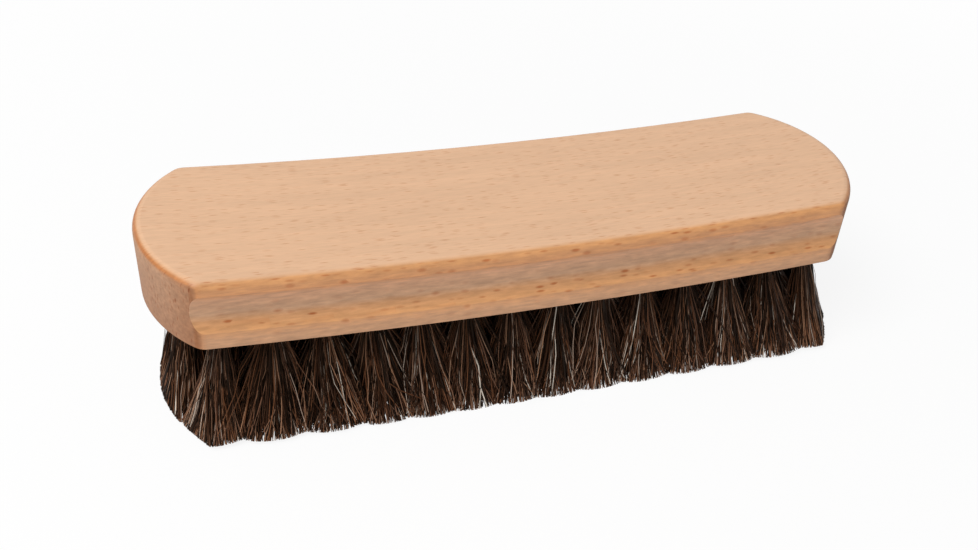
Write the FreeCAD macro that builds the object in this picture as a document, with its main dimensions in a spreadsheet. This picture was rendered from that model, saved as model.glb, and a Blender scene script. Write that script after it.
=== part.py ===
import FreeCAD, Part
import math
import os

import Sketcher

# A shoe shine brush: a bowed beech block with a finger cove moulded along each side, and four
# staggered rows of horsehair tufts. Each tuft is folded over a flat wire anchor and driven with it
# into a blind bore in the underside, where the ends of the anchor bite into the wood.
# Millimetres, +Z up. The origin lies under the middle of the block, on the plane that the middle
# tips stand on. The front of the brush faces -Y.

SIZES = {
    # the block as sawn to its outline
    "block_length": 170,
    "block_width": 48,
    "end_bow": 10.7,
    "corner_radius": 3.5,
    # its bowed section
    "block_thickness": 16.6,
    "rocker_rise": 2.6,
    "top_land": 3.1,
    "bottom_land": 4.1,
    "cove_depth": 1.3,
    "top_round": 1.8,
    "bottom_chamfer": 0.2,
    # the bores
    "hole_diameter": 5,
    "hole_depth": 9,
    "end_inset": 9.7,
    "side_inset": 6,
    # the anchors
    "anchor_bite": 0.6,
    "anchor_height": 2,
    "anchor_thickness": 0.45,
    "fold_height": 1.6,
    # the tufts
    "tuft_clearance": 0.05,
    "tuft_collar": 0.5,
    "tuft_reach": 26.9,
    "tip_rise": 1.9,
    "tip_gap": 0.3,
    "end_splay": 3.6,
    "side_splay": 1.2,
    # how much of its wall an eased edge may take
    "round_wall_share": 0.9,
    # how far each cut runs past what it cuts
    "cut_overrun": 2,
}

INNER_TUFT_COUNT = 15
OUTER_TUFT_COUNT = 14
# Bores and tufts have eight flats, because there are so many of them.
FLAT_COUNT = 8
HALF_FLAT_TURN = 180 / FLAT_COUNT

# The rows of tufts from front to back, each with its count.
ROWS = {
    "front": OUTER_TUFT_COUNT,
    "front_inner": INNER_TUFT_COUNT,
    "back_inner": INNER_TUFT_COUNT,
    "back": OUTER_TUFT_COUNT,
}

# Sizes that follow from the driving ones.
LAYOUT = {
    "rocker_radius": "((Sizes.block_length / 2)^2 + Sizes.rocker_rise^2) / (2 * Sizes.rocker_rise)",
    "rocker_axis_height": "Sizes.tuft_reach + rocker_radius",
    "rocker_angle": "2 * asin((Sizes.block_length / 2 + Sizes.cut_overrun) / rocker_radius)",
    "end_radius": "((Sizes.block_width / 2)^2 + Sizes.end_bow^2) / (2 * Sizes.end_bow)",
    "top_height": "Sizes.tuft_reach + Sizes.block_thickness",
    "cove_width": "Sizes.block_thickness - Sizes.top_land - Sizes.bottom_land",
    "cove_radius": "((cove_width / 2)^2 + Sizes.cove_depth^2) / (2 * Sizes.cove_depth)",
    "cove_height": "Sizes.tuft_reach + Sizes.bottom_land + cove_width / 2",
    "field_half_length": "Sizes.block_length / 2 - Sizes.end_inset",
    "field_half_width": "Sizes.block_width / 2 - Sizes.side_inset",
    "tuft_pitch": f"2 * field_half_length / {INNER_TUFT_COUNT - 1}",
    "row_pitch": f"2 * field_half_width / {len(ROWS) - 1}",
    "end_fan": "1 + Sizes.end_splay / field_half_length",
    "side_fan": "1 + Sizes.side_splay / field_half_width",
    "hole_radius": "Sizes.hole_diameter / 2",
    "root_radius": "hole_radius - Sizes.tuft_clearance",
    "tip_radius": "(tuft_pitch * end_fan - Sizes.tip_gap) / 2",
    "anchor_length": "Sizes.hole_diameter + 2 * Sizes.anchor_bite",
    "flat_share": f"cos({HALF_FLAT_TURN})",
}

doc = FreeCAD.newDocument("ShoeShineBrush")


def fill_sheet(name, cells):
    """A sheet with one named cell to a row."""
    sheet = doc.addObject("Spreadsheet::Sheet", name)
    for row, (alias, content) in enumerate(cells.items(), start=1):
        sheet.set(f"A{row}", alias)
        sheet.set(f"B{row}", content)
        sheet.setAlias(f"B{row}", alias)
    doc.recompute()
    return sheet


fill_sheet("Sizes", {alias: str(number) for alias, number in SIZES.items()})
layout = fill_sheet("Layout", {alias: f"={formula}" for alias, formula in LAYOUT.items()})


def value(formula):
    """The number that a formula has now."""
    return float(layout.evalExpression(formula))


def bind(thing, formulas):
    """Ties properties of an object to formulas."""
    for path, formula in formulas.items():
        thing.setExpression(path, formula)


def place(x, y, z):
    """The formulas of a placement that is only moved."""
    return {"Placement.Base.x": x, "Placement.Base.y": y, "Placement.Base.z": z}


def origin_plane(body, role):
    planes = {feature.Role: feature for feature in body.Origin.OriginFeatures}
    return planes[role]


def new_sketch(body, name, role):
    """A sketch on one of the body's own origin planes."""
    sketch = body.newObject("Sketcher::SketchObject", name)
    sketch.AttachmentSupport = [(origin_plane(body, role), "")]
    sketch.MapMode = "FlatFace"
    return sketch


def constrain(sketch, name, kind, *where, formula):
    """A named dimension of a sketch, tied to a formula."""
    index = sketch.addConstraint(Sketcher.Constraint(kind, *where, value(formula)))
    sketch.renameConstraint(index, name)
    sketch.setExpression(f"Constraints.{name}", formula)


# How a sketch numbers its origin, its axes, and the ends and the centre of a curve.
ORIGIN = (-1, 1)
X_AXIS, Y_AXIS = range(-1, -3, -1)
START, END, CENTRE = range(1, 4)
UPWARDS = FreeCAD.Vector(0, 0, 1)


def point(x, y):
    return FreeCAD.Vector(x, y, 0)


def draw_plan(body):
    """The outline from above: straight sides, and ends bowed to an arc."""
    sketch = new_sketch(body, "PlanOutline", "XY_Plane")
    bind(sketch, {"AttachmentOffset.Base.z": "Sizes.tuft_reach - Sizes.cut_overrun"})
    half_width = value("Sizes.block_width / 2")
    corner_x = value("Sizes.block_length / 2 - Sizes.end_bow")
    centre_x = value("Sizes.block_length / 2 - Layout.end_radius")
    radius = value("Layout.end_radius")
    sweep = math.atan2(half_width, corner_x - centre_x)

    back = sketch.addGeometry(Part.LineSegment(point(-corner_x, half_width), point(corner_x, half_width)))
    right_circle = Part.Circle(point(centre_x, 0), UPWARDS, radius)
    right = sketch.addGeometry(Part.ArcOfCircle(right_circle, -sweep, sweep))
    front = sketch.addGeometry(Part.LineSegment(point(corner_x, -half_width), point(-corner_x, -half_width)))
    left_circle = Part.Circle(point(-centre_x, 0), UPWARDS, radius)
    left = sketch.addGeometry(Part.ArcOfCircle(left_circle, math.pi - sweep, math.pi + sweep))

    sketch.addConstraint(
        [
            Sketcher.Constraint("Coincident", back, END, right, END),
            Sketcher.Constraint("Coincident", right, START, front, START),
            Sketcher.Constraint("Coincident", front, END, left, END),
            Sketcher.Constraint("Coincident", left, START, back, START),
            Sketcher.Constraint("Horizontal", back),
            Sketcher.Constraint("Horizontal", front),
            Sketcher.Constraint("PointOnObject", right, CENTRE, X_AXIS),
            Sketcher.Constraint("PointOnObject", left, CENTRE, X_AXIS),
        ]
    )
    middle_to_centre = "Sizes.block_length / 2 - Layout.end_radius"
    constrain(sketch, "back_side", "DistanceY", *ORIGIN, back, START, formula="Sizes.block_width / 2")
    constrain(sketch, "front_side", "DistanceY", front, START, *ORIGIN, formula="Sizes.block_width / 2")
    constrain(sketch, "right_radius", "Radius", right, formula="Layout.end_radius")
    constrain(sketch, "left_radius", "Radius", left, formula="Layout.end_radius")
    constrain(sketch, "right_centre", "DistanceX", *ORIGIN, right, CENTRE, formula=middle_to_centre)
    constrain(sketch, "left_centre", "DistanceX", left, CENTRE, *ORIGIN, formula=middle_to_centre)
    return sketch


def draw_rocker_axis(sketch, half_width):
    """The line that the bowed section turns about, level and far above the block."""
    height = value("Layout.rocker_axis_height")
    axis = sketch.addGeometry(Part.LineSegment(point(-half_width, height), point(half_width, height)), True)
    sketch.addConstraint(Sketcher.Constraint("Symmetric", axis, START, axis, END, Y_AXIS))
    constrain(sketch, "axis_height", "DistanceY", *ORIGIN, axis, START, formula="Layout.rocker_axis_height")
    constrain(sketch, "axis_length", "DistanceX", axis, START, axis, END, formula="Sizes.block_width")


def draw_level_strip(sketch, name, low, high):
    """A rectangle across the whole width and a little more, between two heights."""
    reach = "Sizes.block_width / 2 + Sizes.cut_overrun"
    x = value(reach)
    corners = [point(-x, value(low)), point(x, value(low)), point(x, value(high)), point(-x, value(high))]
    lines = []
    for begin, finish in zip(corners, corners[1:] + corners[:1]):
        lines.append(sketch.addGeometry(Part.LineSegment(begin, finish)))
    bottom, right, top, left = lines
    for one, other in zip(lines, lines[1:] + lines[:1]):
        sketch.addConstraint(Sketcher.Constraint("Coincident", one, END, other, START))
    sketch.addConstraint(
        [
            Sketcher.Constraint("Horizontal", bottom),
            Sketcher.Constraint("Horizontal", top),
            Sketcher.Constraint("Vertical", right),
            Sketcher.Constraint("Vertical", left),
        ]
    )
    constrain(sketch, f"{name}_low", "DistanceY", *ORIGIN, bottom, START, formula=low)
    constrain(sketch, f"{name}_high", "DistanceY", *ORIGIN, top, START, formula=high)
    constrain(sketch, f"{name}_right", "DistanceX", *ORIGIN, right, START, formula=reach)
    constrain(sketch, f"{name}_left", "DistanceX", left, START, *ORIGIN, formula=reach)


def draw_bow(body):
    """What is planed off above and below, so that the block bows up towards its ends."""
    sketch = new_sketch(body, "BowSection", "YZ_Plane")
    draw_rocker_axis(sketch, value("Sizes.block_width / 2"))
    under = "Sizes.tuft_reach - Sizes.rocker_rise - 2 * Sizes.cut_overrun"
    over = "Layout.top_height + Sizes.rocker_rise + 2 * Sizes.cut_overrun"
    draw_level_strip(sketch, "under", under, "Sizes.tuft_reach")
    draw_level_strip(sketch, "over", "Layout.top_height", over)
    return sketch


def draw_cove(body):
    """The round cutter that moulds the cove along the back."""
    sketch = new_sketch(body, "CoveSection", "YZ_Plane")
    draw_rocker_axis(sketch, value("Sizes.block_width / 2"))
    across = "Sizes.block_width / 2 - Sizes.cove_depth + Layout.cove_radius"
    middle = point(value(across), value("Layout.cove_height"))
    cutter = sketch.addGeometry(Part.Circle(middle, UPWARDS, value("Layout.cove_radius")))
    constrain(sketch, "cutter_across", "DistanceX", *ORIGIN, cutter, CENTRE, formula=across)
    constrain(sketch, "cutter_height", "DistanceY", *ORIGIN, cutter, CENTRE, formula="Layout.cove_height")
    constrain(sketch, "cutter_radius", "Radius", cutter, formula="Layout.cove_radius")
    return sketch


def cut_along_rocker(body, name, sketch):
    """Turns a section about the rocker axis, to both sides, and takes it away."""
    before = body.Shape.Volume
    groove = body.newObject("PartDesign::Groove", name)
    groove.Profile = sketch
    groove.ReferenceAxis = (sketch, ["Axis0"])
    groove.Midplane = True
    bind(groove, {"Angle": "Layout.rocker_angle"})
    doc.recompute()
    print(f"{name} takes off {before - body.Shape.Volume:.0f} mm3")
    return groove


def repeat_at_front(body, name, feature):
    """The same cut again on the front of the block."""
    before = body.Shape.Volume
    mirror = body.newObject("PartDesign::Mirrored", name)
    mirror.Originals = [feature]
    mirror.MirrorPlane = (origin_plane(body, "XZ_Plane"), [""])
    body.Tip = mirror
    doc.recompute()
    print(f"{name} takes off {before - body.Shape.Volume:.0f} mm3")


def names_of(shape, edges):
    """The names that a shape gives to some of its edges."""
    return [f"Edge{i}" for i, edge in enumerate(shape.Edges, start=1) if any(edge.isSame(e) for e in edges)]


def ease_edges(body, kind, name, edges, formulas):
    """Rounds or chamfers edges of the body as it is now."""
    carrier = body.Tip
    edge_names = names_of(body.Shape, edges)
    easing = body.newObject(f"PartDesign::{kind}", name)
    easing.Base = (carrier, edge_names)
    bind(easing, formulas)
    doc.recompute()


def edges_on_drum(shape, radius):
    """The edges of the face that lies on the drum of this radius about the rocker axis."""
    for face in shape.Faces:
        drum = face.Surface
        if isinstance(drum, Part.Cylinder) and math.isclose(drum.Radius, radius, rel_tol=1e-6):
            return face.Edges
    raise RuntimeError("the block has lost its bowed face")


def make_block_blank():
    """The bowed, moulded and rounded block, before it is bored."""
    body = doc.addObject("PartDesign::Body", "BlockBlank")
    outline = draw_plan(body)
    blank = body.newObject("PartDesign::Pad", "SawnBlank")
    blank.Profile = outline
    bind(blank, {"Length": "Sizes.block_thickness + Sizes.rocker_rise + 2 * Sizes.cut_overrun"})
    doc.recompute()

    upright = [edge for edge in body.Shape.Edges if abs(edge.tangentAt(edge.FirstParameter).z) == 1]
    ease_edges(body, "Fillet", "CornerRounds", upright, {"Radius": "Sizes.corner_radius"})
    cut_along_rocker(body, "Bow", draw_bow(body))
    back_cove = cut_along_rocker(body, "BackCove", draw_cove(body))
    repeat_at_front(body, "FrontCove", back_cove)

    top_edges = edges_on_drum(body.Shape, value("Layout.rocker_radius - Sizes.block_thickness"))
    top_round = "min(Sizes.top_round; Sizes.top_land * Sizes.round_wall_share)"
    ease_edges(body, "Fillet", "TopRound", top_edges, {"Radius": top_round})
    under_edges = edges_on_drum(body.Shape, value("Layout.rocker_radius"))
    chamfer = "min(Sizes.bottom_chamfer; Sizes.bottom_land * Sizes.round_wall_share)"
    ease_edges(body, "Chamfer", "BottomChamfer", under_edges, {"Size": chamfer})
    return body


def cut(name, base, tool):
    """One solid less another."""
    result = doc.addObject("Part::Cut", name)
    result.Base = base
    result.Tool = tool
    return result


def group(name, members):
    """Separate solids kept as one object."""
    result = doc.addObject("Part::Compound", name)
    result.Links = members
    return result


def make_bore(name, x, y, mouth):
    """What one bore takes out of the underside."""
    bore = doc.addObject("Part::Prism", f"{name}_bore")
    bore.Polygon = FLAT_COUNT
    bore.Placement.Rotation = FreeCAD.Rotation(UPWARDS, HALF_FLAT_TURN)
    bind(bore, {"Circumradius": "Layout.hole_radius / Layout.flat_share"})
    bind(bore, {"Height": "Sizes.hole_depth + Sizes.cut_overrun"})
    bind(bore, place(x, y, f"{mouth} - Sizes.cut_overrun"))
    return bore


def make_anchor(name, x, y, mouth):
    """A cut of flat wire that stands on edge across the bore, longer than the bore is wide."""
    anchor = doc.addObject("Part::Box", f"{name}_anchor")
    bind(anchor, {"Length": "Sizes.anchor_thickness"})
    bind(anchor, {"Width": "Layout.anchor_length"})
    bind(anchor, {"Height": "Sizes.anchor_height"})
    low = f"{mouth} + Sizes.hole_depth - Sizes.fold_height - Sizes.anchor_height"
    bind(anchor, place(f"{x} - Sizes.anchor_thickness / 2", f"{y} - Layout.anchor_length / 2", low))
    return anchor


def flat_ring(x, y, z, radius):
    """The corners of a level ring whose flats lie at a radius from its middle."""
    middle = FreeCAD.Vector(x, y, z)
    reach = radius / value("Layout.flat_share")
    corners = []
    for i in range(FLAT_COUNT):
        turn = math.radians(HALF_FLAT_TURN) * (2 * i + 1)
        corners.append(middle + reach * point(math.cos(turn), math.sin(turn)))
    return corners


def flat_face(corners):
    return Part.Face(Part.makePolygon(corners + corners[:1]))


def skin_rings(rings):
    """The solid with flat sides between level rings, listed from one end to the other."""
    faces = [flat_face(rings[0]), flat_face(rings[-1])]
    for one, other in zip(rings, rings[1:]):
        for i in range(FLAT_COUNT):
            faces.append(flat_face([one[i - 1], one[i], other[i], other[i - 1]]))
    return Part.Solid(Part.Shell(faces))


def make_bundle(name, x, y, mouth):
    """Folded hair from the floor of the bore to the trimmed tip, which fans out as it goes down.

    It is drawn about the middle of the bore's mouth, and then put there."""
    lean_x = value(f"{x} * (Layout.end_fan - 1)")
    lean_y = value(f"{y} * (Layout.side_fan - 1)")
    fold = value("Sizes.hole_depth - Sizes.tuft_clearance")
    collar = value("-Sizes.tuft_collar")
    tip = value(f"Sizes.tip_rise * ({x} / (Sizes.block_length / 2))^2 - {mouth}")
    rings = [
        flat_ring(0, 0, fold, value("Layout.root_radius")),
        flat_ring(0, 0, collar, value("Layout.root_radius")),
        flat_ring(lean_x, lean_y, tip, value("Layout.tip_radius")),
    ]
    bundle = doc.addObject("Part::Feature", f"{name}_bundle")
    bundle.Shape = skin_rings(rings)
    bundle.Placement.Base = FreeCAD.Vector(value(x), value(y), value(mouth))
    return bundle


block_blank = make_block_blank()
pieces = []
bores = []
anchors = []
for lane, (row, count) in enumerate(ROWS.items()):
    for i in range(count):
        tuft_name = f"{row}_tuft_{i + 1:02d}"
        x = f"({i - (count - 1) / 2} * Layout.tuft_pitch)"
        y = f"({lane - (len(ROWS) - 1) / 2} * Layout.row_pitch)"
        mouth = f"(Layout.rocker_axis_height - sqrt(Layout.rocker_radius^2 - {x}^2))"
        bores.append(make_bore(tuft_name, x, y, mouth))
        anchors.append(make_anchor(tuft_name, x, y, mouth))
        bundle = make_bundle(tuft_name, x, y, mouth)
        tuft = cut(f"{tuft_name}_cut", bundle, anchors[-1])
        tuft.Label = tuft_name
        pieces.append(tuft)

all_anchors = group("Anchors", anchors)
all_anchors.Label = "tuft_anchors"
bored_block = cut("BoredBlock", block_blank, group("Bores", bores))
block = cut("Block", bored_block, all_anchors)
block.Label = "wood_block"
pieces += [all_anchors, block]
doc.recompute()

for thing in doc.Objects:
    if "Invalid" in thing.State or "Error" in thing.State:
        raise RuntimeError(f"{thing.Label} failed: {thing.State}")
for piece in pieces:
    if piece.Shape.isNull() or not piece.Shape.isValid():
        raise RuntimeError(f"{piece.Label} has no sound shape")

os.makedirs("parts", exist_ok=True)
for piece in pieces:
    piece.Shape.exportStep(f"parts/{piece.Label}.step")
print(f"{len(pieces)} nodes; the block holds {block.Shape.Volume:.0f} mm3 of wood")
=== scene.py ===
# %% [markdown]
# # A shoe shine brush
#
# A hand brush of two natural materials: a bowed beech block, and tufts of horsehair set into its
# underside. The CAD model already gives every piece its place and size, in metres, with the tips of the
# middle tufts on z = 0. This file loads it as a fixed frame and makes the looks around it.

# %% Load the frame
import math

import bpy
from mathutils import Matrix, Vector


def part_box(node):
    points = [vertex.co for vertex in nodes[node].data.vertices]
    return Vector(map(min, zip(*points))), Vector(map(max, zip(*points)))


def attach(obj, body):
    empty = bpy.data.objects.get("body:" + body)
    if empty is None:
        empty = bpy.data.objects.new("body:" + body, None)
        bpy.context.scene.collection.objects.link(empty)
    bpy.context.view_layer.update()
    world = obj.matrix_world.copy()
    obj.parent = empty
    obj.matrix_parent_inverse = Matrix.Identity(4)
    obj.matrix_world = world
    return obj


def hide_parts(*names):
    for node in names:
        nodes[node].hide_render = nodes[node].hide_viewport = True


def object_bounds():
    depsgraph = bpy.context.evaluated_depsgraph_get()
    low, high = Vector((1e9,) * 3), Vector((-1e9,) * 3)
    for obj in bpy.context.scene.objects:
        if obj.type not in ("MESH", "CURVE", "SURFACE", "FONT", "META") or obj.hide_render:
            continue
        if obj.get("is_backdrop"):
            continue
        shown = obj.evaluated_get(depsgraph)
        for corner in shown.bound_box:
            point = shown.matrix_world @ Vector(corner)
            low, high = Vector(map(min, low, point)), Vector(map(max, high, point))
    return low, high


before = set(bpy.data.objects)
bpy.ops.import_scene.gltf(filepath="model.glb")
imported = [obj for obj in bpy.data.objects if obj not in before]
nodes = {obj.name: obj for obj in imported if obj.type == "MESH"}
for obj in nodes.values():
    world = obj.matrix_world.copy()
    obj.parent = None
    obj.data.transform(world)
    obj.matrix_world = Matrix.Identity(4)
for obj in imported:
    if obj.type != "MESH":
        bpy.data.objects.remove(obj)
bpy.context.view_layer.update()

# %% [markdown]
# ## Three helpers
#
# Colours are written as sRGB hex values, the way a colour picker shows them, and shaders want linear
# light, so the first function turns one into the other. Node trees are built in code here, so the second
# adds a node with its settings and links. The third starts a material. Lengths are written in
# millimetres.

# %% Helpers
MM = 0.001


def linear(code):
    """A colour such as "#E2B796" in linear light."""
    shares = [int(code[i : i + 2], 16) / 255 for i in (1, 3, 5)]
    return [s / 12.92 if s <= 0.04045 else ((s + 0.055) / 1.055) ** 2.4 for s in shares] + [1.0]


def add(tree, kind, inputs=None, **settings):
    """A new node. Its inputs are named, or numbered among those in use.

    Each takes a value, a socket, or a node, which gives its first output in use."""
    node = tree.nodes.new(kind)
    for name, setting in settings.items():
        setattr(node, name, setting)
    in_use = [socket for socket in node.inputs if socket.enabled]
    for key, feed in (inputs or {}).items():
        socket = in_use[key] if isinstance(key, int) else next(s for s in in_use if s.name == key)
        if isinstance(feed, bpy.types.Node):
            feed = next(s for s in feed.outputs if s.enabled)
        if isinstance(feed, bpy.types.NodeSocket):
            tree.links.new(feed, socket)
        else:
            socket.default_value = feed
    return node


def new_material(name):
    """An empty material and its node tree."""
    material = bpy.data.materials.new(name)
    material.use_nodes = True
    material.node_tree.nodes.clear()
    return material, material.node_tree


# %% [markdown]
# ## The camera
#
# The photograph looks down on the brush from the front left, with the camera turned a little about its
# own axis. The place and the three directions below were fitted to the outline of the block, so the
# camera is set by its matrix instead of by angles.

# %% Camera
EYE = Vector((-75.073, -200.981, 173.746)) * MM
RIGHT = Vector((0.95470, -0.29211, 0.05676))
UP = Vector((0.12741, 0.57364, 0.80914))
BACK = Vector((-0.26892, -0.76525, 0.58487))
FOCAL_PIXELS = 1072.0
IMAGE_WIDTH = 978

lens = bpy.data.cameras.new("camera")
lens.sensor_fit = "HORIZONTAL"
lens.lens = FOCAL_PIXELS / IMAGE_WIDTH * lens.sensor_width
lens.clip_start = 10 * MM
camera = bpy.data.objects.new("camera", lens)
camera.matrix_world = Matrix.Translation(EYE) @ Matrix((RIGHT, UP, BACK)).transposed().to_4x4()
bpy.context.scene.collection.objects.link(camera)
bpy.context.scene.camera = camera
print(f"camera with a lens of {lens.lens:.1f} mm")

# %% [markdown]
# ## Light and floor
#
# The photograph was taken in soft light against white. A pale sky lights the brush from all round, and
# one large lamp at the upper left makes the top the brightest side and the right end the darkest. The
# floor is white paper: it keeps the shadow of the brush, and a share of plain white, only for rays that
# end in the eye, lifts the rest of it to the white of the photograph without any more light on the
# brush. Away from the brush that share grows to the whole, so that the paper has no horizon.

# %% Light
SKY_STRENGTH = 0.32
LAMP_POWER = 13.6
LAMP_SIZE = 650 * MM
LAMP_PLACE = Vector((-640, -360, 1000)) * MM


def sight(tree):
    """1 for a ray by which a thing is seen, straight, in a mirror or through glass, and else 0."""
    ray = add(tree, "ShaderNodeLightPath").outputs
    seen = add(tree, "ShaderNodeMath", {0: ray["Is Camera Ray"], 1: ray["Is Glossy Ray"]}, operation="ADD")
    return add(tree, "ShaderNodeMath", {0: seen, 1: ray["Is Transmission Ray"]}, operation="ADD")


scene = bpy.context.scene
scene.view_settings.view_transform = "Standard"
world = bpy.data.worlds.new("studio")
world.use_nodes = True
world.node_tree.nodes.clear()
scene.world = world
sky_tree = world.node_tree
sky = add(sky_tree, "ShaderNodeBackground", {"Color": linear("#FFFFFF"), "Strength": SKY_STRENGTH})
backdrop = add(sky_tree, "ShaderNodeBackground", {"Color": linear("#FFFFFF"), "Strength": 1.0})
either = add(sky_tree, "ShaderNodeMixShader", {0: sight(sky_tree), 1: sky, 2: backdrop})
add(sky_tree, "ShaderNodeOutputWorld", {"Surface": either})

softbox = bpy.data.lights.new("softbox", "AREA")
softbox.shape = "SQUARE"
softbox.size = LAMP_SIZE
softbox.energy = LAMP_POWER
lamp = bpy.data.objects.new("softbox", softbox)
lamp.location = LAMP_PLACE
lamp.rotation_mode = "QUATERNION"
lamp.rotation_quaternion = (-LAMP_PLACE).to_track_quat("-Z", "Y")
scene.collection.objects.link(lamp)
print(f"one lamp of {LAMP_POWER} W at the upper left")

# %% Floor
FLOOR_HALF = 6.0
WHITE_SHARE = 0.88
SHADOW_REACH = 120 * MM
ALL_WHITE = 400 * MM

paper, tree = new_material("white paper")
away = add(tree, "ShaderNodeTexCoord").outputs["Object"]
away = add(tree, "ShaderNodeVectorMath", {0: away}, operation="LENGTH").outputs["Value"]
share = add(
    tree,
    "ShaderNodeMapRange",
    {
        "Value": away,
        "From Min": SHADOW_REACH,
        "From Max": ALL_WHITE,
        "To Min": WHITE_SHARE,
        "To Max": 1.0,
    },
)
share = add(tree, "ShaderNodeMath", {0: sight(tree), 1: share}, operation="MULTIPLY")
matt = add(tree, "ShaderNodeBsdfDiffuse", {"Color": linear("#F2F2F2")})
glow = add(tree, "ShaderNodeEmission", {"Color": linear("#FFFFFF"), "Strength": 1.0})
both = add(tree, "ShaderNodeMixShader", {0: share, 1: matt, 2: glow})
add(tree, "ShaderNodeOutputMaterial", {"Surface": both})

sheet = bpy.data.meshes.new("floor")
corners = [(-FLOOR_HALF, -FLOOR_HALF, 0), (FLOOR_HALF, -FLOOR_HALF, 0), (FLOOR_HALF, FLOOR_HALF, 0)]
corners.append((-FLOOR_HALF, FLOOR_HALF, 0))
sheet.from_pydata(corners, [], [(0, 1, 2, 3)])
sheet.materials.append(paper)
floor = bpy.data.objects.new("floor", sheet)
scene.collection.objects.link(floor)
floor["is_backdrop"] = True
print("white floor under the tips")

# %% [markdown]
# ## Beech under a satin lacquer
#
# Beech is a pale pinkish wood with even grain. Two things give it away: a fine streak along the fibres,
# and the rays, thin ribbons that stand upright in the wood like slats. Where the saw cuts across them,
# as on top of the block, the rays show as short dark ticks. Where it cuts along them, as on the sides,
# they show as broad flecks. An image would have to be wrapped round the block, and its edges would not
# agree. A solid pattern, worked out from the place inside the wood, is cut by each face as a saw would
# cut it.
#
# All sizes of the pattern are in millimetres of wood. Single fibres are far too fine to show, so the
# streaks stand for bundles of them, over broad soft bands. The rays are drawn a quarter of a millimetre
# wide, about twice as wide as most real ones, which would be finer than a pixel.

# %% Grain
RAY_SPACING = Vector((3.4, 0.42, 2.0))
RAY_CORE = 0.15
RAY_RIM = 0.38
RAYLESS = 0.25
FIBRE_SIZE = Vector((6.0, 0.5, 0.5))
RAG_SIZE = Vector((4.5, 1.0, 1.0))
BAND_SIZE = Vector((38.0, 3.5, 3.5))
BAND_SHARE = 0.6

beech, tree = new_material("lacquered beech")
place = add(tree, "ShaderNodeTexCoord").outputs["Object"]
millimetres = add(tree, "ShaderNodeVectorMath", {0: place, "Scale": 1 / MM}, operation="SCALE")

fibre_at = add(tree, "ShaderNodeVectorMath", {0: millimetres, 1: FIBRE_SIZE}, operation="DIVIDE")
fibre = add(
    tree,
    "ShaderNodeTexNoise",
    {"Vector": fibre_at, "Scale": 1.0, "Detail": 4.0, "Roughness": 0.65},
)
rag_at = add(tree, "ShaderNodeVectorMath", {0: millimetres, 1: RAG_SIZE}, operation="DIVIDE")
rag = add(tree, "ShaderNodeTexNoise", {"Vector": rag_at, "Scale": 1.0, "Detail": 3.0, "Roughness": 0.6})
band_at = add(tree, "ShaderNodeVectorMath", {0: millimetres, 1: BAND_SIZE}, operation="DIVIDE")
band = add(tree, "ShaderNodeTexNoise", {"Vector": band_at, "Scale": 1.0, "Detail": 2.0, "Roughness": 0.5})
streaks = add(tree, "ShaderNodeMath", {0: band, 1: BAND_SHARE, 2: fibre}, operation="MULTIPLY_ADD")

ray_at = add(tree, "ShaderNodeVectorMath", {0: millimetres, 1: RAY_SPACING}, operation="DIVIDE")
rays = add(tree, "ShaderNodeTexVoronoi", {"Vector": ray_at, "Scale": 1.0, "Randomness": 1.0})
ray = add(
    tree,
    "ShaderNodeMapRange",
    {
        "Value": rays.outputs["Distance"],
        "From Min": RAY_CORE,
        "From Max": RAY_RIM,
        "To Min": 1.0,
        "To Max": 0.0,
    },
)
luck = add(tree, "ShaderNodeSeparateColor", {"Color": rays.outputs["Color"]}).outputs["Red"]
luck = add(tree, "ShaderNodeMapRange", {"Value": luck, "From Min": RAYLESS, "From Max": 1.0})
ray = add(tree, "ShaderNodeMath", {0: ray, 1: luck}, operation="MULTIPLY")
print("streaks and rays in the wood")

# %% [markdown]
# The sides of the block are coloured in bands by height, which bow with the block: a pinkish lip at the
# bottom, an orange band on the lower half of the hollow for the fingers, which faces up, a greyer one on
# its upper half, which faces down under the overhang, and orange again under the top. The bands are
# partly the wood's own colour and partly painted light and shade: the grey is painted shade, and the
# orange band that faces up is painted brighter, as painted light. A ramp holds their colours by height,
# and its alpha tells how many flecks a band shows.

# %% Bands by height, with painted light and shade
SOLE_HEIGHT = 26.9
BLOCK_THICKNESS = 16.6
ROCKER_RADIUS = 1390.7
RAGGEDNESS = 2.4
# bands by height on the sides: painted shade in the upper hollow, painted light on the band below it
BANDS_AND_PAINTED_SHADE = (
    (0.0, "#BF916E", 0.15),
    (2.2, "#C99771", 0.2),
    (3.4, "#D1996D", 0.3),
    (4.6, "#C89160", 0.9),
    (6.6, "#C28D60", 1.0),
    (8.2, "#BF9574", 0.4),
    (12.2, "#D29E79", 0.1),
    (13.6, "#D19363", 0.7),
    (16.6, "#CA925F", 0.8),
)

lengthwise, _, up = add(tree, "ShaderNodeSeparateXYZ", {0: millimetres}).outputs
sag = add(tree, "ShaderNodeMath", {0: lengthwise, 1: lengthwise}, operation="MULTIPLY")
sag = add(tree, "ShaderNodeMath", {0: sag, 1: -0.5 / ROCKER_RADIUS, 2: up}, operation="MULTIPLY_ADD")
height = add(tree, "ShaderNodeMath", {0: rag, 1: RAGGEDNESS, 2: sag}, operation="MULTIPLY_ADD")
height = add(
    tree,
    "ShaderNodeMapRange",
    {
        "Value": height,
        "From Min": SOLE_HEIGHT + RAGGEDNESS / 2,
        "From Max": SOLE_HEIGHT + RAGGEDNESS / 2 + BLOCK_THICKNESS,
    },
)
# the ramp of bands, with painted shade and painted light in the hollow
bands_and_painted_shade = add(tree, "ShaderNodeValToRGB", {"Fac": height})
stops = bands_and_painted_shade.color_ramp.elements
while len(stops) < len(BANDS_AND_PAINTED_SHADE):
    stops.new(0.5)
for stop, (where, code, flecks) in zip(stops, BANDS_AND_PAINTED_SHADE):
    stop.position = where / BLOCK_THICKNESS
    stop.color = linear(code)[:3] + [flecks]
print(f"{len(BANDS_AND_PAINTED_SHADE)} layers in the wood")
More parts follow.
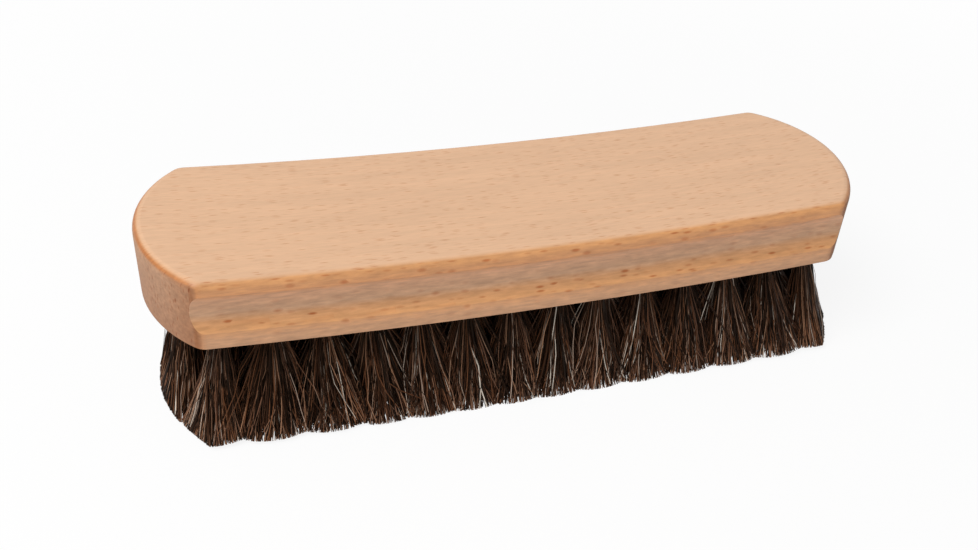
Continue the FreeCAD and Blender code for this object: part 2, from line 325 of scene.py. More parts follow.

# %% [markdown]
# What a face shows depends on which way it is cut, and its normal tells that. The top is a flat cut and
# the palest. The ends are cut across the fibres, soak up more lacquer and are the darkest, most of all
# at the upright corners. The rounded edge between top and end keeps the orange of the band under the
# top.

# %% Faces
# for each kind of face, the way that its normal is measured, where the kind starts, and where it is full
FACE_KINDS = {
    "top": ("up", 0.76, 0.99),
    "top or edge": ("up", 0.4, 0.65),
    "end": ("endwise", 0.25, 0.6),
    "corner": ("endwise", 0.85, 0.55),
}
RIM_FULL = 0.7

outward = add(tree, "ShaderNodeNewGeometry").outputs["Normal"]
normal = add(tree, "ShaderNodeSeparateXYZ", {0: outward}).outputs
endwise = add(tree, "ShaderNodeMath", {0: normal["X"]}, operation="ABSOLUTE")
facing = {"up": normal["Z"], "endwise": endwise}
faces = {}
for kind, (way, start, full) in FACE_KINDS.items():
    faces[kind] = add(
        tree,
        "ShaderNodeMapRange",
        {"Value": facing[way], "From Min": start, "From Max": full},
    )
level = faces["top"]
upright = add(tree, "ShaderNodeMath", {0: 1.0, 1: faces["top or edge"]}, operation="SUBTRACT")
end = add(tree, "ShaderNodeMath", {0: faces["end"], 1: upright}, operation="MULTIPLY")
corner = add(tree, "ShaderNodeMath", {0: end, 1: faces["corner"]}, operation="MULTIPLY")
rim = add(tree, "ShaderNodeMath", {0: 1.0, 1: level}, operation="SUBTRACT")
rim = add(tree, "ShaderNodeMath", {0: rim, 1: endwise}, operation="MULTIPLY")
rim = add(tree, "ShaderNodeMapRange", {"Value": rim, "From Max": RIM_FULL})
print(f"{len(FACE_KINDS)} kinds of face on the block")

# %% Colours of the faces
TOP_COLOUR = linear("#DCB18D")
RIM_COLOUR = linear("#AD6B36")
END_COLOURS = linear("#9B6F51"), linear("#AB8365")
CORNER_COLOUR = linear("#8E5831")

low_end, high_end = END_COLOURS
across = add(tree, "ShaderNodeMix", {"Factor": height, "A": low_end, "B": high_end}, data_type="RGBA")
wood = bands_and_painted_shade.outputs["Color"]
for share, colour in ((level, TOP_COLOUR), (rim, RIM_COLOUR), (end, across), (corner, CORNER_COLOUR)):
    wood = add(tree, "ShaderNodeMix", {"Factor": share, "A": wood, "B": colour}, data_type="RGBA")
print("top, rim, ends and corners have their colours")

# %% [markdown]
# The pattern then goes over these colours. Streaks and mottling make the wood a little lighter or
# darker, and the rays multiply it with a reddish brown. A planed and lacquered top shows no mottling.
# Lacquer lies smooth on the sides and soaks into the ends, so these are duller, and the fibres show
# through it as a very low relief.

# %% Pattern and lacquer
NOISE_LOW, NOISE_HIGH = 0.3, 0.7
STREAK_CONTRAST = 0.06
MOTTLE_CONTRAST = 0.15
TOP_FLECKS = 0.65
FLECK_COLOUR = linear("#D19F6E")
RELIEF = 0.1 * MM
RELIEF_STRENGTH = 0.12
SMOOTH, DULL = 0.45, 0.7

streak = add(
    tree,
    "ShaderNodeMapRange",
    {
        "Value": streaks,
        "From Min": NOISE_LOW + BAND_SHARE / 2,
        "From Max": NOISE_HIGH + BAND_SHARE / 2,
        "To Min": 1 - STREAK_CONTRAST,
        "To Max": 1 + STREAK_CONTRAST,
    },
)
wood = add(tree, "ShaderNodeHueSaturation", {"Color": wood, "Value": streak})
mottle = add(
    tree,
    "ShaderNodeMapRange",
    {
        "Value": rag,
        "From Min": NOISE_LOW,
        "From Max": NOISE_HIGH,
        "To Min": 1 - MOTTLE_CONTRAST,
        "To Max": 1 + MOTTLE_CONTRAST,
    },
)
mottle = add(tree, "ShaderNodeMix", {"Factor": level, "A": mottle, "B": 1.0})
wood = add(tree, "ShaderNodeHueSaturation", {"Color": wood, "Value": mottle})

flecked = add(tree, "ShaderNodeMix", {"Factor": level, "A": bands_and_painted_shade.outputs["Alpha"], "B": TOP_FLECKS})
flecked = add(tree, "ShaderNodeMix", {"Factor": end, "A": flecked, "B": 1.0})
flecked = add(tree, "ShaderNodeMath", {0: flecked, 1: ray}, operation="MULTIPLY")
wood = add(
    tree,
    "ShaderNodeMix",
    {"Factor": flecked, "A": wood, "B": FLECK_COLOUR},
    data_type="RGBA",
    blend_type="MULTIPLY",
)

grain = add(tree, "ShaderNodeBump", {"Strength": RELIEF_STRENGTH, "Distance": RELIEF, "Height": fibre})
sheen = add(tree, "ShaderNodeMapRange", {"Value": end, "To Min": SMOOTH, "To Max": DULL})
lacquer = add(
    tree,
    "ShaderNodeBsdfPrincipled",
    {"Base Color": wood, "Roughness": sheen, "IOR": 1.5, "Specular IOR Level": 0.4, "Normal": grain},
)
add(tree, "ShaderNodeOutputMaterial", {"Surface": lacquer})

block = nodes["wood_block"]
block.data.materials[0] = beech
print("the block is beech")

# %% [markdown]
# ## Horsehair
#
# Horsehair is sold mixed: mostly near black, with brown, tan, and a few stout white hairs. A strand is
# a smooth horny tube, so it shines along its length. Each hair carries one number of its own, its tone,
# as an attribute, and the material looks the colour up on a ramp, so that no two hairs next to each
# other need be alike. Reddish and greyish browns take turns along the ramp, because hair of one
# brightness comes in both. A second attribute, along, tells how far down the hair a point lies: towards
# the block the hair is darkened, as painted shade for the shadow of the block and of the hair around it,
# and the tips keep their full colour. White hairs take less of this painted shade than the rest.

# %% Hair material
TONES = (
    (0.00, "#0C0705"),
    (0.20, "#1D110B"),
    (0.38, "#492C1C"),
    (0.46, "#463228"),
    (0.56, "#805337"),
    (0.64, "#7C5C4B"),
    (0.73, "#AE8264"),
    (0.80, "#A98F7D"),
    (0.88, "#BFAC9D"),
    (0.94, "#D6C9BA"),
    (1.00, "#E2D6C7"),
)
# painted shade along the hair: darker towards the block, full colour towards the tips
DARK_UNTIL, SHADE_ENDS_AT = 0.25, 0.9
SHADE_AT_THE_BLOCK = 0.53
WHITE_TONES = 0.85, 0.94
WHITE_SHADE_AT_THE_BLOCK = 0.75

horsehair, tree = new_material("mixed horsehair")
tone = add(tree, "ShaderNodeAttribute", attribute_name="tone").outputs["Fac"]
ramp = add(tree, "ShaderNodeValToRGB", {"Fac": tone})
stops = ramp.color_ramp.elements
while len(stops) < len(TONES):
    stops.new(0.5)
for stop, (where, code) in zip(stops, TONES):
    stop.position = where
    stop.color = linear(code)
along = add(tree, "ShaderNodeAttribute", attribute_name="along").outputs["Fac"]
# painted shade of the block and of the hair around it, strongest at the roots; white hairs take less of it
root_shade = add(
    tree,
    "ShaderNodeMapRange",
    {"Value": along, "From Min": DARK_UNTIL, "From Max": SHADE_ENDS_AT, "To Min": SHADE_AT_THE_BLOCK},
)
lightest, white = WHITE_TONES
pale = add(
    tree,
    "ShaderNodeMapRange",
    {"Value": tone, "From Min": lightest, "From Max": white, "To Max": WHITE_SHADE_AT_THE_BLOCK},
)
root_shade = add(tree, "ShaderNodeMath", {0: root_shade, 1: pale}, operation="MAXIMUM")
colour = add(tree, "ShaderNodeVectorMath", {0: ramp, "Scale": root_shade}, operation="SCALE")
strand = add(
    tree,
    "ShaderNodeBsdfPrincipled",
    {
        "Base Color": colour,
        "Roughness": 0.4,
        "IOR": 1.55,
        "Specular IOR Level": 0.22,
        "Specular Tint": linear("#C89A74"),
    },
)
add(tree, "ShaderNodeOutputMaterial", {"Surface": strand})
print(f"{len(TONES)} tones of hair")

# %% [markdown]
# ## A tuft, hair by hair
#
# A tuft is a bundle of hairs folded in half and driven into a bore. The bore holds them tight, so they
# fan out below it, and the machine then trims them level. Drawing hairs by hand would take days, and a
# particle system would not survive the export. Geometry Nodes make real strands from a rule: a row of
# points for each hair, turned into a curve and then into a thin three-sided tube.
#
# Two small groups are used many times. The first gives a random spot in a disc, the same for the same
# number.

# %% A spot in a disc
spot_group = bpy.data.node_groups.new("spot in a disc", "GeometryNodeTree")
spot_group.interface.new_socket("ID", in_out="INPUT", socket_type="NodeSocketInt")
spot_group.interface.new_socket("Seed", in_out="INPUT", socket_type="NodeSocketInt")
spot_group.interface.new_socket("Spot", in_out="OUTPUT", socket_type="NodeSocketVector")
given = add(spot_group, "NodeGroupInput").outputs
reach = add(spot_group, "FunctionNodeRandomValue", {"ID": given["ID"], "Seed": given["Seed"]})
even = add(spot_group, "ShaderNodeMath", {0: reach}, operation="SQRT")
next_seed = add(spot_group, "FunctionNodeIntegerMath", {0: given["Seed"], 1: 1}, operation="ADD")
turn = add(spot_group, "FunctionNodeRandomValue", {"Max": math.tau, "ID": given["ID"], "Seed": next_seed})
arm = add(spot_group, "ShaderNodeCombineXYZ", {"X": even})
spot = add(spot_group, "ShaderNodeVectorRotate", {"Vector": arm, "Angle": turn}, rotation_type="Z_AXIS")
add(spot_group, "NodeGroupOutput", {"Spot": spot})
print("a group that gives a spot in a disc")

# %% [markdown]
# The second puts such a spot at its place in the tuft. In the bore the tuft is round. Lower down it
# meets its neighbours, and fills its share of the brush like a square with round corners, so the spots
# are spread towards the corners there. They are also crowded towards the rim, where the hair is seen: a
# crowding of 1 leaves them as they are, and a smaller one puts more of them outside. A push above 1
# drives the outer ones right up to the rim, which gives a row of tips its clean edge.

# %% A place in the tuft
place_group = bpy.data.node_groups.new("place in the tuft", "GeometryNodeTree")
for name in ("Spot", "Middle", "Half size"):
    place_group.interface.new_socket(name, in_out="INPUT", socket_type="NodeSocketVector")
for name in ("Squareness", "Crowding", "Push"):
    place_group.interface.new_socket(name, in_out="INPUT", socket_type="NodeSocketFloat")
for name in ("Place", "Pushed"):
    place_group.interface.new_socket(name, in_out="OUTPUT", socket_type="NodeSocketVector")
given = add(place_group, "NodeGroupInput").outputs
heading = add(place_group, "ShaderNodeVectorMath", {0: given["Spot"]}, operation="NORMALIZE")
slopes = add(place_group, "ShaderNodeVectorMath", {0: heading}, operation="ABSOLUTE")
slopes = add(place_group, "ShaderNodeSeparateXYZ", {0: slopes}).outputs
larger = add(place_group, "ShaderNodeMath", {0: slopes["X"], 1: slopes["Y"]}, operation="MAXIMUM")
squared = add(place_group, "ShaderNodeMath", {0: larger, 1: given["Squareness"]}, operation="POWER")
reach = add(place_group, "ShaderNodeVectorMath", {0: given["Spot"]}, operation="LENGTH").outputs["Value"]
reach = add(place_group, "ShaderNodeMath", {0: reach, 1: given["Crowding"]}, operation="POWER")
reach = add(place_group, "ShaderNodeMath", {0: reach, 1: given["Push"]}, operation="MULTIPLY")
reach = add(place_group, "ShaderNodeMath", {0: reach, 1: 1.0}, operation="MINIMUM")
reach = add(place_group, "ShaderNodeMath", {0: reach, 1: squared}, operation="DIVIDE")
pushed = add(place_group, "ShaderNodeVectorMath", {0: heading, "Scale": reach}, operation="SCALE")
spread = add(place_group, "ShaderNodeVectorMath", {0: pushed, 1: given["Half size"]}, operation="MULTIPLY")
place = add(place_group, "ShaderNodeVectorMath", {0: spread, 1: given["Middle"]}, operation="ADD")
add(place_group, "NodeGroupOutput", {"Place": place, "Pushed": pushed})
print("a group that puts a spot at its place")

# %% [markdown]
# The tuft itself. A hair has a number, and each of its points a share of the way from the bore to the
# tip. Every hair belongs to a lock. The hairs of a lock draw together half way down, which gives the
# streaks and dark partings of real hair, and part again at the tip. So the line of a hair is a curve on
# three places: its root, its middle and its tip. A bow and a slow curl of its own make hairs cross, and
# a few wisps stray far along the row, swing on or back on the way to the tip, and end a little higher.
# So do hairs at the left and right of a tuft, which gives the trimmed edge its scallops. At the ends of
# the brush the tips keep to the outline, a curve like that of the block above them.
#
# A real tuft has more hairs than are drawn, and a thin one lets the floor shine through. So one hair in
# six is a core hair, two to three times as thick, and a little inside the rim, and it is darker, as
# painted shade for the inside of the tuft. The others are drawn at 0.12 to 0.27 mm, about as thick as
# real ones.

# %% Inputs of the tuft
tuft_group = bpy.data.node_groups.new("horsehair tuft", "GeometryNodeTree")
TUFT_INPUTS = {
    "Root": ("Vector", None),
    "Tip": ("Vector", None),
    "Tip half size": ("Vector", None),
    "Seed": ("Int", None),
    "Lean": ("Vector", None),
    "Outline": ("Vector", (84.2 * MM, 24.0 * MM, 9.0 * MM)),
    "Root half size": ("Vector", (1.7 * MM, 1.7 * MM, 0.0)),
    "Hairs": ("Int", None),
    "Knots": ("Int", 6),
    "Locks": ("Int", 30),
    "Root scatter": ("Float", 0.85),
    "Middle scatter": ("Float", 0.16),
    "Tip scatter": ("Float", 0.55),
    "Crowding": ("Float", None),
    "Tip crowding": ("Float", 0.7),
    "Tip push": ("Float", 2.0),
    "Squareness": ("Float", None),
    "Flare": ("Float", None),
    "Rim rise": ("Float", None),
    "Trim": ("Float", 0.05 * MM),
    "Bow": ("Float", None),
    "Wisp": ("Float", None),
    "Wisp rarity": ("Float", 6.0),
    "Wisp rise": ("Float", 0.4),
    "Curl": ("Float", 0.8 * MM),
    "Loss": ("Float", 0.1),
    "Dark lock": ("Float", 0.65),
    "White share": ("Float", 0.013),
    "Core share": ("Float", 0.16),
    "Core inset": ("Float", 0.05),
    "Core rise": ("Float", 0.1 * MM),
    # core hairs are darkened, as painted shade for the inside of the tuft
    "Core painted shade": ("Float", 0.35),
    "Core girth": ("Float", 2.6),
    "Thin": ("Float", None),
    "Stout": ("Float", None),
    "Hair": ("Material", horsehair),
}
tuft_sockets = {}
for name, (kind, _) in TUFT_INPUTS.items():
    tuft_sockets[name] = tuft_group.interface.new_socket(
        name, in_out="INPUT", socket_type=f"NodeSocket{kind}"
    )
tuft_group.interface.new_socket("Geometry", in_out="OUTPUT", socket_type="NodeSocketGeometry")
given = add(tuft_group, "NodeGroupInput").outputs
print(f"a tuft has {len(TUFT_INPUTS)} inputs")

# %% Number the points
index = add(tuft_group, "GeometryNodeInputIndex")
hair = add(tuft_group, "FunctionNodeIntegerMath", {0: index, 1: given["Knots"]}, operation="DIVIDE_FLOOR")
knot = add(
    tuft_group,
    "FunctionNodeIntegerMath",
    {0: index, 1: given["Knots"]},
    operation="FLOORED_MODULO",
)
last = add(tuft_group, "FunctionNodeIntegerMath", {0: given["Knots"], 1: 1}, operation="SUBTRACT")
along = add(tuft_group, "ShaderNodeMath", {0: knot, 1: last}, operation="DIVIDE")

CHANCES = ("lock", "spot", "bow", "curl", "wisp", "phase", "turns", "loss", "trim", "tone", "shade")
CHANCES += ("stout", "white", "core")
# a spot in a disc uses two seeds, its own and the next
SEED_STEP = 2
seeds = {}
for i, purpose in enumerate(CHANCES):
    seeds[purpose] = add(
        tuft_group,
        "FunctionNodeIntegerMath",
        {0: given["Seed"], 1: SEED_STEP * i},
        operation="ADD",
    )
chance = {}
for purpose in ("wisp", "phase", "turns", "loss", "trim", "tone", "stout", "white", "core"):
    chance[purpose] = add(tuft_group, "FunctionNodeRandomValue", {"ID": hair, "Seed": seeds[purpose]})
spots = {}
for purpose in ("spot", "bow", "curl"):
    spots[purpose] = add(
        tuft_group, "GeometryNodeGroup", {"ID": hair, "Seed": seeds[purpose]}, node_tree=spot_group
    )
print(f"{len(CHANCES)} kinds of chance for each hair")

# %% [markdown]
# The locks stand on a spiral that turns by the golden angle at each step, as seeds do in a sunflower,
# because chance alone would leave holes.

# %% Locks
GOLDEN_ANGLE = math.pi * (3 - math.sqrt(5))

lock = add(
    tuft_group,
    "FunctionNodeRandomValue",
    {"Min": 1, "Max": given["Locks"], "ID": hair, "Seed": seeds["lock"]},
    data_type="INT",
)
lock_share = add(tuft_group, "ShaderNodeMath", {0: lock, 1: given["Locks"]}, operation="DIVIDE")
lock_reach = add(tuft_group, "ShaderNodeMath", {0: lock_share}, operation="SQRT")
lock_arm = add(tuft_group, "ShaderNodeCombineXYZ", {"X": lock_reach})
lock_turn = add(
    tuft_group,
    "ShaderNodeMath",
    {0: lock, 1: GOLDEN_ANGLE, 2: given["Seed"]},
    operation="MULTIPLY_ADD",
)
lock_spot = add(
    tuft_group,
    "ShaderNodeVectorRotate",
    {"Vector": lock_arm, "Angle": lock_turn},
    rotation_type="Z_AXIS",
)
hair_spots = {}
for part in ("Root", "Middle", "Tip"):
    hair_spots[part] = add(
        tuft_group,
        "ShaderNodeMix",
        {"Factor": given[f"{part} scatter"], "A": lock_spot, "B": spots["spot"]},
        data_type="VECTOR",
    )
print("a spot in its lock for each hair")

# %% Root and middle
root = add(
    tuft_group,
    "GeometryNodeGroup",
    {
        "Spot": hair_spots["Root"],
        "Middle": given["Root"],
        "Half size": given["Root half size"],
        "Squareness": 0.0,
        "Crowding": 1.0,
        "Push": 1.0,
    },
    node_tree=place_group,
)

leant = add(tuft_group, "ShaderNodeVectorMath", {0: given["Tip"], 1: given["Lean"]}, operation="ADD")
half_way = add(tuft_group, "ShaderNodeMix", {"A": given["Root"], "B": leant}, data_type="VECTOR")
flared = add(
    tuft_group,
    "ShaderNodeMix",
    {"Factor": given["Flare"], "A": given["Root half size"], "B": given["Tip half size"]},
    data_type="VECTOR",
)
middle = add(
    tuft_group,
    "GeometryNodeGroup",
    {
        "Spot": hair_spots["Middle"],
        "Middle": half_way,
        "Half size": flared,
        "Squareness": 0.0,
        "Crowding": given["Crowding"],
        "Push": 1.0,
    },
    node_tree=place_group,
)
print("two places for each hair")

# %% Core hairs, bows and strays
STRAY_REACH = Vector((1.0, 0.25, 0.0))

core = add(
    tuft_group,
    "ShaderNodeMath",
    {0: chance["core"], 1: given["Core share"]},
    operation="LESS_THAN",
)
inset = add(tuft_group, "ShaderNodeMath", {0: core, 1: given["Core inset"]}, operation="MULTIPLY")
middle = add(
    tuft_group,
    "ShaderNodeMix",
    {"Factor": inset, "A": middle, "B": half_way},
    data_type="VECTOR",
)
bow = add(tuft_group, "ShaderNodeVectorMath", {0: spots["bow"], "Scale": given["Bow"]}, operation="SCALE")
wisp = add(tuft_group, "ShaderNodeMath", {0: chance["wisp"], 1: given["Wisp rarity"]}, operation="POWER")
wisp = add(tuft_group, "ShaderNodeMath", {0: wisp, 1: given["Wisp"]}, operation="MULTIPLY")
stray = add(tuft_group, "ShaderNodeVectorMath", {0: spots["bow"], "Scale": wisp}, operation="SCALE")
stray = add(tuft_group, "ShaderNodeVectorMath", {0: stray, 1: STRAY_REACH}, operation="MULTIPLY")
middle = add(tuft_group, "ShaderNodeVectorMath", {0: middle, 1: bow}, operation="ADD")
middle = add(tuft_group, "ShaderNodeVectorMath", {0: middle, 1: stray}, operation="ADD")
print("the middle of each hair is off its straight way")

# %% Tip
SWING_BACK, SWING_ON = -0.8, 2.0
SCALLOP_POWER = 3.0

tip = add(
    tuft_group,
    "GeometryNodeGroup",
    {
        "Spot": hair_spots["Tip"],
        "Middle": given["Tip"],
        "Half size": given["Tip half size"],
        "Squareness": given["Squareness"],
        "Crowding": given["Tip crowding"],
        "Push": given["Tip push"],
    },
    node_tree=place_group,
)
aside = add(tuft_group, "ShaderNodeSeparateXYZ", {0: tip.outputs["Pushed"]}).outputs["X"]
tip = add(tuft_group, "ShaderNodeMix", {"Factor": inset, "A": tip, "B": given["Tip"]}, data_type="VECTOR")
swing = add(
    tuft_group,
    "ShaderNodeMapRange",
    {"Value": chance["turns"], "To Min": SWING_BACK, "To Max": SWING_ON},
)
swing = add(tuft_group, "ShaderNodeVectorMath", {0: stray, "Scale": swing}, operation="SCALE")
tip = add(tuft_group, "ShaderNodeVectorMath", {0: tip, 1: swing}, operation="ADD")
aside = add(tuft_group, "ShaderNodeMath", {0: aside}, operation="ABSOLUTE")
aside = add(tuft_group, "ShaderNodeMath", {0: aside, 1: SCALLOP_POWER}, operation="POWER")
rise = add(tuft_group, "ShaderNodeMath", {0: aside, 1: given["Rim rise"]}, operation="MULTIPLY")
for cause, amount in ((chance["trim"], "Trim"), (wisp, "Wisp rise"), (core, "Core rise")):
    rise = add(
        tuft_group,
        "ShaderNodeMath",
        {0: cause, 1: given[amount], 2: rise},
        operation="MULTIPLY_ADD",
    )
print("a tip for each hair")

# %% Trim the tips
tip = add(tuft_group, "ShaderNodeSeparateXYZ", {0: tip}).outputs
outline = add(tuft_group, "ShaderNodeSeparateXYZ", {0: given["Outline"]}).outputs
bowed = add(tuft_group, "ShaderNodeMath", {0: tip["Y"], 1: outline["Y"]}, operation="DIVIDE")
bowed = add(tuft_group, "ShaderNodeMath", {0: bowed, 1: bowed}, operation="MULTIPLY")
bowed = add(tuft_group, "ShaderNodeMath", {0: bowed, 1: outline["Z"]}, operation="MULTIPLY")
farthest = add(tuft_group, "ShaderNodeMath", {0: outline["X"], 1: bowed}, operation="SUBTRACT")
nearest = add(tuft_group, "ShaderNodeMath", {0: farthest, 1: -1.0}, operation="MULTIPLY")
trimmed = add(tuft_group, "ShaderNodeClamp", {"Value": tip["X"], "Min": nearest, "Max": farthest})
tip_height = add(tuft_group, "ShaderNodeMath", {0: tip["Z"], 1: rise}, operation="ADD")
tip = add(tuft_group, "ShaderNodeCombineXYZ", {"X": trimmed, "Y": tip["Y"], "Z": tip_height})
tip = add(tuft_group, "ShaderNodeVectorMath", {0: tip, 1: given["Lean"]}, operation="ADD")
print("the tips keep to the outline")

# %% The line of a hair
LOSS_RARITY = 9.0
FEWEST_TURNS, MOST_TURNS = 0.7, 1.8

loss = add(tuft_group, "ShaderNodeMath", {0: chance["loss"], 1: LOSS_RARITY}, operation="POWER")
loss = add(tuft_group, "ShaderNodeMath", {0: loss, 1: given["Loss"]}, operation="MULTIPLY")
kept = add(tuft_group, "ShaderNodeMath", {0: 1.0, 1: loss}, operation="SUBTRACT")
down = add(tuft_group, "ShaderNodeMath", {0: along, 1: kept}, operation="MULTIPLY")
upper = add(tuft_group, "ShaderNodeMix", {"Factor": down, "A": root, "B": middle}, data_type="VECTOR")
lower = add(tuft_group, "ShaderNodeMix", {"Factor": down, "A": middle, "B": tip}, data_type="VECTOR")
line = add(tuft_group, "ShaderNodeMix", {"Factor": down, "A": upper, "B": lower}, data_type="VECTOR")

phase = add(tuft_group, "ShaderNodeMath", {0: chance["phase"], 1: math.tau}, operation="MULTIPLY")
turns = add(
    tuft_group,
    "ShaderNodeMapRange",
    {"Value": chance["turns"], "To Min": FEWEST_TURNS * math.tau, "To Max": MOST_TURNS * math.tau},
)
wave = add(tuft_group, "ShaderNodeMath", {0: down, 1: turns, 2: phase}, operation="MULTIPLY_ADD")
wave = add(tuft_group, "ShaderNodeMath", {0: wave}, operation="SINE")
free = add(tuft_group, "ShaderNodeMath", {0: down, 1: math.pi}, operation="MULTIPLY")
free = add(tuft_group, "ShaderNodeMath", {0: free}, operation="SINE")
wave = add(tuft_group, "ShaderNodeMath", {0: wave, 1: free}, operation="MULTIPLY")
wave = add(tuft_group, "ShaderNodeMath", {0: wave, 1: given["Curl"]}, operation="MULTIPLY")
curl = add(tuft_group, "ShaderNodeVectorMath", {0: spots["curl"], "Scale": wave}, operation="SCALE")
line = add(tuft_group, "ShaderNodeVectorMath", {0: line, 1: curl}, operation="ADD")
print("a line for each hair")

# %% Tones of the points
LIGHTEST_BROWN = 0.97

point_count = add(
    tuft_group,
    "FunctionNodeIntegerMath",
    {0: given["Hairs"], 1: given["Knots"]},
    operation="MULTIPLY",
)
points = add(tuft_group, "GeometryNodePoints", {"Count": point_count, "Position": line})
shade = add(
    tuft_group,
    "FunctionNodeRandomValue",
    {"Min": given["Dark lock"], "Max": 1.0, "ID": lock, "Seed": seeds["shade"]},
)
tone = add(tuft_group, "ShaderNodeMath", {0: chance["tone"], 1: shade}, operation="MULTIPLY")
tone = add(tuft_group, "ShaderNodeMath", {0: tone, 1: LIGHTEST_BROWN}, operation="MULTIPLY")
white = add(
    tuft_group,
    "ShaderNodeMath",
    {0: chance["white"], 1: given["White share"]},
    operation="LESS_THAN",
)
tone = add(tuft_group, "ShaderNodeMath", {0: tone, 1: white}, operation="MAXIMUM")
# core hairs are darkened, as painted shade for the inside of the tuft
core_shade = add(
    tuft_group,
    "ShaderNodeMapRange",
    {"Value": core, "To Min": 1.0, "To Max": given["Core painted shade"]},
)
tone = add(tuft_group, "ShaderNodeMath", {0: tone, 1: core_shade}, operation="MULTIPLY")
toned = add(
    tuft_group,
    "GeometryNodeStoreNamedAttribute",
    {"Geometry": points, "Name": "tone", "Value": tone},
    data_type="FLOAT",
    domain="POINT",
)
toned = add(
    tuft_group,
    "GeometryNodeStoreNamedAttribute",
    {"Geometry": toned, "Name": "along", "Value": along},
    data_type="FLOAT",
    domain="POINT",
)
print("a tone for each hair")

# %% From points to strands
STOUT_TONES = 0.9, 1.0
RADIUS_SHARE, WHITE_RADIUS_SHARE = 0.5, 0.7

strands = add(
    tuft_group,
    "GeometryNodePointsToCurves",
    {"Points": toned, "Curve Group ID": hair, "Weight": along},
)
width = add(
    tuft_group,
    "ShaderNodeMapRange",
    {"Value": chance["stout"], "To Min": given["Thin"], "To Max": given["Stout"]},
)
radius = add(
    tuft_group,
    "ShaderNodeMapRange",
    {
        "Value": tone,
        "From Min": STOUT_TONES[0],
        "From Max": STOUT_TONES[1],
        "To Min": RADIUS_SHARE,
        "To Max": WHITE_RADIUS_SHARE,
    },
)
radius = add(tuft_group, "ShaderNodeMath", {0: width, 1: radius}, operation="MULTIPLY")
girth = add(
    tuft_group,
    "ShaderNodeMapRange",
    {"Value": core, "To Min": 1.0, "To Max": given["Core girth"]},
)
radius = add(tuft_group, "ShaderNodeMath", {0: radius, 1: girth}, operation="MULTIPLY")
ring = add(tuft_group, "GeometryNodeCurvePrimitiveCircle", {"Resolution": 3, "Radius": 1.0})
tubes = add(
    tuft_group,
    "GeometryNodeCurveToMesh",
    {"Curve": strands, "Profile Curve": ring, "Scale": radius, "Fill Caps": True},
)
smooth = add(tuft_group, "GeometryNodeSetShadeSmooth", {"Geometry": tubes, "Shade Smooth": True})
real = add(tuft_group, "GeometryNodeRealizeInstances", {"Geometry": smooth})
dressed = add(tuft_group, "GeometryNodeSetMaterial", {"Geometry": real, "Material": given["Hair"]})
add(tuft_group, "NodeGroupOutput", {"Geometry": dressed})
print(f"{len(tuft_group.nodes)} nodes make a tuft")

# %% [markdown]
# ## Every tuft in its bore
#
# The CAD tufts are plain solids that give each tuft its place: the solid's lowest face is the trimmed
# tip, and its top is the fold at the floor of the bore. The roots start a little way up the bore, out
# of sight. In the photograph the hair lies over to the right, more in some places than in others, from
# being wiped and packed that way, so each tuft has a lean of its own. The tufts of the two inner rows
# are hidden by the others, and make do with fewer and coarser hairs. Each tuft gets a seed of its own,
# is turned into a plain mesh, and stands for its CAD solid.

# %% Set the tufts
BORE_DEPTH = 9.0 * MM
ROOT_SUNK = 2.0 * MM
SIDE_SPREAD = 1.55
END_SPREAD = 1.3
OUTER_DEPTH = 1.2
INNER_DEPTH = 1.55
SIDE_DRAW_IN = 0.9 * MM
CORNER_DRAW_IN = 1.7 * MM
END_ZONE = 67 * MM
# tips stand further out than roots, by 3.6 mm at 75.3 mm from the middle, and to the sides by 1.2 mm at 18 mm
END_FAN = 1 + 3.6 / 75.3
SIDE_FAN = 1 + 1.2 / 18.0
LEAN = 2.7 * MM
SWAY = 2.1 * MM
SWAY_LENGTH = 120 * MM
SWAY_CREST = -45 * MM
LEAN_START = -72 * MM
LEAN_ONSET = 30 * MM
SEEDS_PER_TUFT = 100
AT_THE_END = {"Bow": 0.7 * MM, "Wisp": 2.0 * MM, "Flare": 0.1, "Rim rise": 0.2 * MM}
ALONG_A_SIDE = {"Bow": 2.2 * MM, "Wisp": 9.0 * MM, "Flare": 0.2, "Rim rise": 0.9 * MM}
SEEN = {"Hairs": 1300, "Thin": 0.12 * MM, "Stout": 0.27 * MM}
HIDDEN = {"Hairs": 450, "Thin": 0.3 * MM, "Stout": 0.45 * MM}

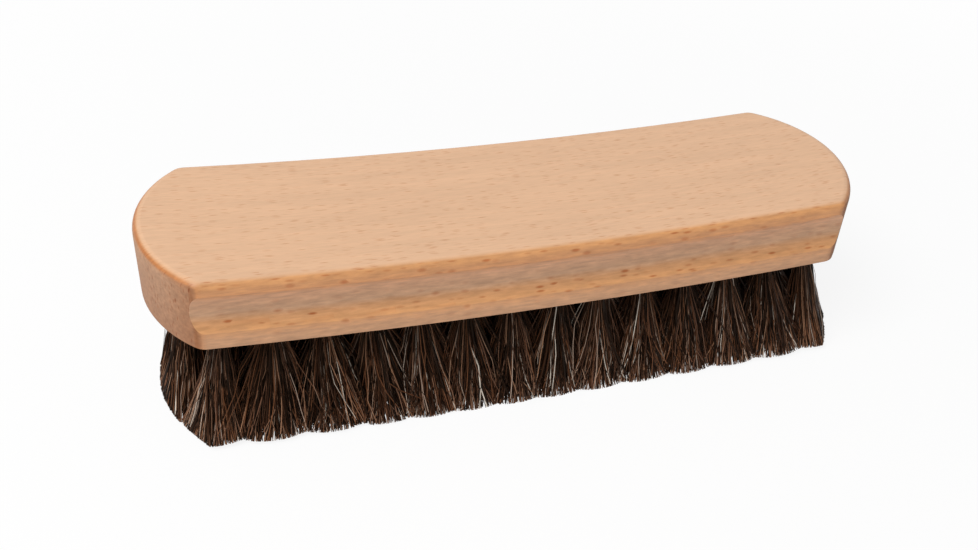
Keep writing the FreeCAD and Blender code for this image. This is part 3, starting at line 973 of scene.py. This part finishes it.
tuft_names = sorted(name for name in nodes if "_tuft_" in name)
triangle_count = 0
for number, name in enumerate(tuft_names):
    low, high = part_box(name)
    half_size = (high - low) / 2
    tip_middle = Vector(((low.x + high.x) / 2, (low.y + high.y) / 2, low.z))
    root_height = high.z - BORE_DEPTH + ROOT_SUNK
    root_middle = Vector((tip_middle.x / END_FAN, tip_middle.y / SIDE_FAN, root_height))
    inner = "inner" in name
    at_end = abs(root_middle.x) > END_ZONE
    hidden = inner and not at_end
    if not inner:
        tip_middle.y -= math.copysign(CORNER_DRAW_IN if at_end else SIDE_DRAW_IN, tip_middle.y)
    lean = LEAN + SWAY * math.cos(math.tau * (root_middle.x - SWAY_CREST) / SWAY_LENGTH)
    lean *= min(1.0, max(0.0, (root_middle.x - LEAN_START) / LEAN_ONSET))
    half_size.x *= END_SPREAD if at_end else SIDE_SPREAD
    half_size.y *= INNER_DEPTH if inner else OUTER_DEPTH
    own = {
        "Root": root_middle,
        "Tip": tip_middle,
        "Tip half size": half_size * Vector((1.0, 1.0, 0.0)),
        "Lean": Vector((lean, 0.0, 0.0)),
        "Seed": SEEDS_PER_TUFT * number,
        "Crowding": 0.7 if inner else 0.3,
        "Squareness": 0.2 if inner and at_end else 0.5,
        **(AT_THE_END if at_end else ALONG_A_SIDE),
        **(HIDDEN if hidden else SEEN),
    }

    maker = bpy.data.objects.new(f"{name}_maker", bpy.data.meshes.new(f"{name}_maker"))
    scene.collection.objects.link(maker)
    modifier = maker.modifiers.new("tuft", "NODES")
    modifier.node_group = tuft_group
    for title, (_, usual) in TUFT_INPUTS.items():
        modifier[tuft_sockets[title].identifier] = own.get(title, usual)
    graph = bpy.context.evaluated_depsgraph_get()
    hair_mesh = bpy.data.meshes.new_from_object(maker.evaluated_get(graph), depsgraph=graph)
    bpy.data.objects.remove(maker)

    piece = bpy.data.objects.new(f"hair_{name}", hair_mesh)
    scene.collection.objects.link(piece)
    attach(piece, "root")
    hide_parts(name)
    triangle_count += sum(len(face.vertices) - 2 for face in hair_mesh.polygons)
print(f"{len(tuft_names)} tufts of {triangle_count} triangles in all")

# %% [markdown]
# ## The anchors
#
# A short cut of flat wire holds the fold of each tuft. It is drawn steel, with fine lines along it from
# the die. The wood hides it, and it is there for whoever cuts the model open.

# %% Drawn steel wire
LINES_PER_METRE = (20000.0, 600.0, 20000.0)

steel, tree = new_material("drawn steel wire")
place = add(tree, "ShaderNodeTexCoord").outputs["Object"]
lines_at = add(tree, "ShaderNodeVectorMath", {0: place, 1: LINES_PER_METRE}, operation="MULTIPLY")
lines = add(tree, "ShaderNodeTexNoise", {"Vector": lines_at, "Scale": 1.0, "Detail": 2.0})
drawn = add(
    tree,
    "ShaderNodeMix",
    {"Factor": lines, "A": linear("#8C8D8F"), "B": linear("#B9BABC")},
    data_type="RGBA",
)
wire = add(tree, "ShaderNodeBsdfPrincipled", {"Base Color": drawn, "Metallic": 1.0, "Roughness": 0.35})
add(tree, "ShaderNodeOutputMaterial", {"Surface": wire})
nodes["tuft_anchors"].data.materials[0] = steel
print("the anchors are steel")

# %% [markdown]
# ## Sizes
#
# The dressed brush has to stay the size of the CAD model, so its box is printed.

# %% Sizes and finish
low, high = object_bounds()
print(f"dressed brush {[round(1000 * s, 1) for s in high - low]} mm")
